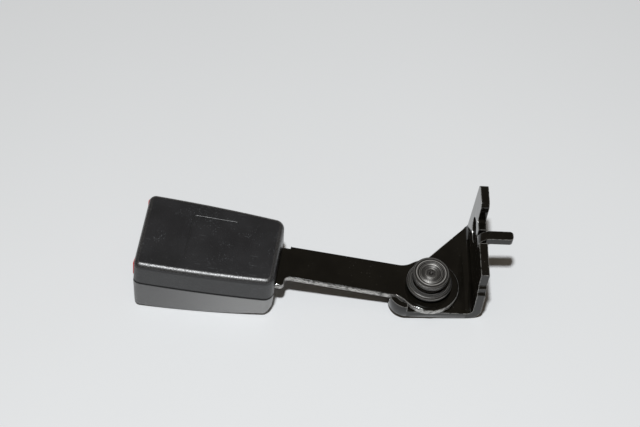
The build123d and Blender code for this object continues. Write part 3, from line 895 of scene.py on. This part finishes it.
@dataclass
class TurnedStud:
    """The pivot stud with its tool rings, turned about the pivot's axis."""

    centre: Vector
    finish: Finish
    node: str = "pivot_stud"
    steps: int = 144
    join_mm: float = 0.0005
    head_r: float = 9.0
    face_r: float = 6.95
    face_sink: float = 0.35
    centre_mark: tuple[tuple[float, float], ...] = ((0.0, 0.30), (0.45, 0.30), (0.75, 0.12), (1.05, 0.12), (1.25, 0.34))
    dimple_r: float = 2.1
    dimple_wall: float = 0.25
    dimple_depth: float = 0.34
    neck_r: float = 5.5
    shank_r: float = 5.0
    tail_r: float = 6.6
    tail_depth: float = 1.6
    head_thick: float = 2.7
    head_round: float = 0.5
    round_steps: int = 6
    head_drop: float = 0.6
    lip_inside: float = 0.08
    lip_outside: float = 0.22
    rim_step: float = 0.14
    rim_from: float = 0.42
    rim_to: float = 0.85
    shoulder_up: float = 1.4
    groove_land: float = 0.15
    groove_pitch: float = 0.46
    groove_depth: float = 0.08
    sharp: float = 28.0

    def face_profile(self, top: float) -> list[tuple[float, float]]:
        """Profile of the sunk face from the axis outwards.

        Args:
            top: height of the head's rim in millimetres.

        Returns:
            Radius and height of each corner.
        """
        floor = top - self.face_sink
        profile = [(radius, floor - depth) for radius, depth in self.centre_mark]
        profile += [(self.dimple_r - self.dimple_wall, floor - self.dimple_depth), (self.dimple_r, floor)]
        radius = self.dimple_r + self.groove_land
        while radius + self.groove_pitch < self.face_r - self.face_sink:
            profile += [(radius, floor), (radius + self.groove_pitch * 0.5, floor - self.groove_depth)]
            radius += self.groove_pitch
        profile += [(self.face_r - self.face_sink, floor), (self.face_r - self.lip_inside, top)]
        return profile + [(self.face_r + self.lip_outside, top)]

    def profile(self) -> list[tuple[float, float]]:
        """Whole profile from the middle of the face to the middle of the tail.

        Returns:
            Radius and height of each corner in millimetres.
        """
        low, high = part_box(self.node)
        top = (high.z - self.centre.z) / MM
        foot = (low.z - self.centre.z) / MM
        under = top - self.head_thick
        size, inner = self.head_round, self.head_r - self.head_round
        rounds = [(inner + size * math.sin(a), top - self.head_drop + size * math.cos(a))
                  for a in (math.pi / 2 * step / self.round_steps for step in range(self.round_steps + 1))]
        body = [(self.face_r + self.rim_from, top - self.rim_step), (self.head_r - self.rim_to, top - self.rim_step)]
        body += rounds
        body += [(self.head_r, under + size), (inner, under), (self.neck_r, under)]
        body += [(self.neck_r, self.shoulder_up), (self.shank_r, self.shoulder_up)]
        body += [(self.shank_r, foot + self.tail_depth), (self.tail_r, foot), (0.0, foot)]
        return self.face_profile(top) + body

    def build(self) -> None:
        """Spin the profile into the stud."""
        work = bmesh.new()
        corners = [
            work.verts.new((self.centre.x + r * MM, self.centre.y, self.centre.z + z * MM)) for r, z in self.profile()
        ]
        edges = [work.edges.new(pair) for pair in zip(corners, corners[1:])]
        bmesh.ops.spin(
            work, geom=corners + edges, cent=self.centre, axis=(0.0, 0.0, 1.0), angle=math.tau, steps=self.steps,
            use_merge=True,
        )
        bmesh.ops.remove_doubles(work, verts=work.verts, dist=self.join_mm * MM)
        added("turned_stud", meshed("turned_stud", work, self.finish, self.sharp), "bracket_body", self.node)


@dataclass
class BracketWeb:
    """The corner of the bracket's base that runs back along the bend to the flange's back edge."""

    centre: Vector
    finish: Finish
    turn: float = 8.7
    thick: float = 4.0
    bend_r: float = 3.0
    flange: float = 21.0
    back: float = 36.9
    start: float = 30.0
    diagonal: float = 17.0
    lap: float = 1.5
    inset: float = 0.25
    tip: float = 0.9
    gap: float = 0.05
    over: float = 0.012
    under: float = 0.02
    rows: int = 12
    columns: int = 10
    sharp: float = 40.0

    def edge(self, along: float) -> float:
        """Where the web's cut edge stands.

        Args:
            along: distance along the bend in millimetres.

        Returns:
            Distance from the stud's axis towards the flange in millimetres.
        """
        if along <= self.start:
            return along - self.diagonal + self.inset
        share = (along - self.start) / (self.back - self.start)
        first = self.start - self.diagonal
        return first + share * (self.flange - self.tip - first)

    def rise(self, across: float) -> float:
        """Height of the inner side of the bend above the base.

        Args:
            across: distance from the stud's axis towards the flange in millimetres.

        Returns:
            The height in millimetres.
        """
        inside = max(0.0, across - self.flange + self.bend_r)
        return self.bend_r - math.sqrt(max(0.0, self.bend_r**2 - inside**2))

    def build(self) -> None:
        """Make the web as one closed plate."""
        foot = (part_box("bracket")[0].z - self.centre.z) / MM
        spin = Matrix.Translation(self.centre) @ Matrix.Rotation(math.radians(self.turn), 4, "Z")
        work = bmesh.new()

        def corner(across: float, along: float, up: float) -> bmesh.types.BMVert:
            """Add a corner, given in millimetres from the stud's axis."""
            return work.verts.new(spin @ (Vector((across, along, up)) * MM))

        first, last = self.start - self.lap, self.back - self.gap
        right = self.flange + self.gap
        top: list[list[bmesh.types.BMVert]] = []
        under: list[list[bmesh.types.BMVert]] = []
        for row in range(self.rows + 1):
            along = first + (last - first) * row / self.rows
            left = self.edge(along)
            spots = [left + (right - left) * column / self.columns for column in range(self.columns + 1)]
            ups = [foot + self.thick + self.rise(min(spot, self.flange)) + self.over for spot in spots]
            top.append([corner(spot, along, up) for spot, up in zip(spots, ups)])
            under.append([corner(spot, along, foot + self.under) for spot in spots])
        for row in range(self.rows):
            for column in range(self.columns):
                for near, far in ((top[row], top[row + 1]), (under[row], under[row + 1])):
                    work.faces.new((near[column], near[column + 1], far[column + 1], far[column]))
            for side in (0, self.columns):
                work.faces.new((top[row][side], top[row + 1][side], under[row + 1][side], under[row][side]))
        for row in (0, self.rows):
            for column in range(self.columns):
                work.faces.new((top[row][column], top[row][column + 1], under[row][column + 1], under[row][column]))
        added("bracket_web", meshed("bracket_web", work, self.finish, self.sharp), "bracket_body")


@dataclass
class FieldLip:
    """The fine rounded lip along the edge of the upper cover's sunk field."""

    finish: Finish
    node: str = "housing_upper"
    from_front: float = 23.0
    long: float = 22.5
    wide: float = 25.5
    corner_r: float = 1.5
    corner_steps: int = 6
    lip_r: float = 0.22
    sides: int = 10

    def path(self) -> list[tuple[Vector, Vector]]:
        """Run once round the field.

        Returns:
            Each point from the field's middle, and the way outwards there, in millimetres.
        """
        half_x, half_y = self.long / 2 - self.corner_r, self.wide / 2 - self.corner_r
        corners = ((half_x, half_y), (-half_x, half_y), (-half_x, -half_y), (half_x, -half_y))
        path = []
        for quarter, (x, y) in enumerate(corners):
            for step in range(self.corner_steps + 1):
                angle = math.pi / 2 * (quarter + step / self.corner_steps)
                out = Vector((math.cos(angle), math.sin(angle), 0.0))
                path.append((Vector((x, y, 0.0)) + out * self.corner_r, out))
        return path

    def build(self) -> None:
        """Sweep the lip's round section along the path, with its top level with the cover."""
        low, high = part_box(self.node)
        middle = low.x + (self.from_front + self.long / 2) * MM
        centre = Vector((middle, (low.y + high.y) / 2, high.z))
        work = bmesh.new()
        rings = []
        for place, out in self.path():
            ring = []
            for side in range(self.sides):
                angle = math.tau * side / self.sides
                spot = place + out * (math.cos(angle) * self.lip_r)
                spot.z += (math.sin(angle) - 1.0) * self.lip_r
                ring.append(work.verts.new(centre + spot * MM))
            rings.append(ring)
        for ring, following in zip(rings, rings[1:] + rings[:1]):
            for side in range(self.sides):
                turn = (side + 1) % self.sides
                work.faces.new((ring[side], ring[turn], following[turn], following[side]))
        added("field_lip", meshed("field_lip", work, self.finish), "arm_body")


@dataclass
class BuckleHead:
    """Covers, button and tongue guide."""

    button: Finish = SmoothMoulding("red_moulding", (0.50, 0.022, 0.018), 0.28)
    guide: Finish = SmoothMoulding("guide_moulding", (0.012, 0.012, 0.013), 0.38)
    seam_gap_mm: float = 0.25
    # Where the painted rear light starts and ends, measured from the lower cover's rear end.
    rear_light_long_mm: float = 62.0
    rear_light_end_mm: float = 2.0

    def build(self) -> None:
        """Dress the head's pieces."""
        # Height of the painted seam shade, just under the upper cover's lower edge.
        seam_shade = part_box("housing_upper")[0].z - self.seam_gap_mm * MM
        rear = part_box("housing_lower")[1].x
        upper = GrainedMoulding(seam_shade_up=seam_shade, crown=True)
        # Painted reflection: the lower cover is the upper's black moulding made paler, standing in for the white table
        # mirrored in its side; painted light makes it paler still towards the rear end.
        lower = GrainedMoulding(
            "painted_light_moulding", (0.054, 0.0535, 0.054), gloss=0.30, sheen=1.0, seam_shade_up=seam_shade, rubbed_and_rear_light=(0.27, 0.27, 0.27),
            rear_light_from=rear - self.rear_light_long_mm * MM, rear_light_to=rear - self.rear_light_end_mm * MM)
        finishes = {
            "housing_upper": upper, "housing_lower": lower, "release_button": self.button, "tongue_guide": self.guide}
        for node, finish in finishes.items():
            dress(node, finish)
        FieldLip(upper).build()


@dataclass
class Mechanism:
    """Frame, latch, ejector and springs inside the head."""

    zinc: Finish = PlainSteel("zinc_plate")
    hard: Finish = PlainSteel("oiled_latch_steel", (0.36, 0.36, 0.37), (0.16, 0.13, 0.10), 0.24)
    acetal: Finish = SmoothMoulding("acetal", (0.72, 0.71, 0.66), 0.42)
    edge_mm: float = 0.15

    def build(self) -> None:
        """Dress the mechanism's pieces and wind its springs."""
        for node in ("buckle_frame", "frame_bridge", "frame_rivets", "latch_pivot_pin"):
            dress(node, self.zinc)
        dress("latch_plate", self.hard)
        dress("ejector", self.acetal)
        for node in ("buckle_frame", "frame_bridge", "latch_plate"):
            soften(node, self.edge_mm)
        rear, down = Vector((-1.0, 0.0, 0.0)), Vector((0.0, 0.0, -1.0))
        for spring in (
            CoilSpring("ejector_spring", "ejector_slide", rear, coil_mm=1.4, wire_mm=0.3, turns=9.0, travel_mm=12.0),
            CoilSpring("button_springs", "button_press", rear, coil_mm=1.2, wire_mm=0.22, turns=9.0, travel_mm=5.0),
            CoilSpring("latch_spring", "latch_lift", down, coil_mm=2.4, wire_mm=0.22, turns=2.5, travel_mm=2.1),
        ):
            spring.build()


@dataclass
class ArmAndBracket:
    """Painted steel arm and bracket."""

    centre: Vector
    arm_paint: Finish = StovedSteel("arm_enamel", bare=(0.62, 0.61, 0.59), edge=Edge.SHEARED)
    bracket_paint: Finish = StovedSteel("bracket_enamel")
    web_paint: Finish = StovedSteel("web_enamel", edge_bare=0.0)
    arm_edge_mm: float = 0.4
    bracket_edge_mm: float = 0.45

    def build(self) -> None:
        """Dress the arm and the bracket."""
        dress("arm_plate", self.arm_paint)
        dress("bracket", self.bracket_paint)
        soften("arm_plate", self.arm_edge_mm, clamp=False)
        soften("bracket", self.bracket_edge_mm)
        BracketWeb(self.centre, self.web_paint).build()


@dataclass
class PivotStack:
    """Stud, collar, bush and washers on the pivot's axis."""

    centre: Vector
    bush: Finish = SmoothMoulding("bearing_polymer", (0.10, 0.08, 0.06), 0.45)

    def build(self) -> None:
        """Dress the turned pieces and the washers."""
        turned = TurnedSteel("turned_black", self.centre)
        dress("stud_collar", turned)
        TurnedStud(self.centre, turned).build()
        dress("wave_washer", SPRING_WIRE)
        for node in ("pivot_bush", "spacer_washer"):
            dress(node, self.bush)


def pivot_point() -> Vector:
    """Point on the stud's axis at the arm's top face.

    Returns:
        The point in the part's frame.
    """
    hinge = next(joint for joint in frame["joints"] if joint["name"] == "arm_pivot")
    return Vector((hinge["pos_m"][0], hinge["pos_m"][1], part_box("arm_plate")[1].z))


def main() -> None:
    """Build each sub-assembly in turn, then the studio."""
    logging.basicConfig(level=logging.INFO, format="%(name)s %(message)s")
    pivot = pivot_point()
    for part in (BuckleHead(), Mechanism(), ArmAndBracket(pivot), PivotStack(pivot)):
        log.info("building %s", type(part).__name__)
        part.build()
    Studio(pivot).build()


if __name__ == "__main__":
    main()
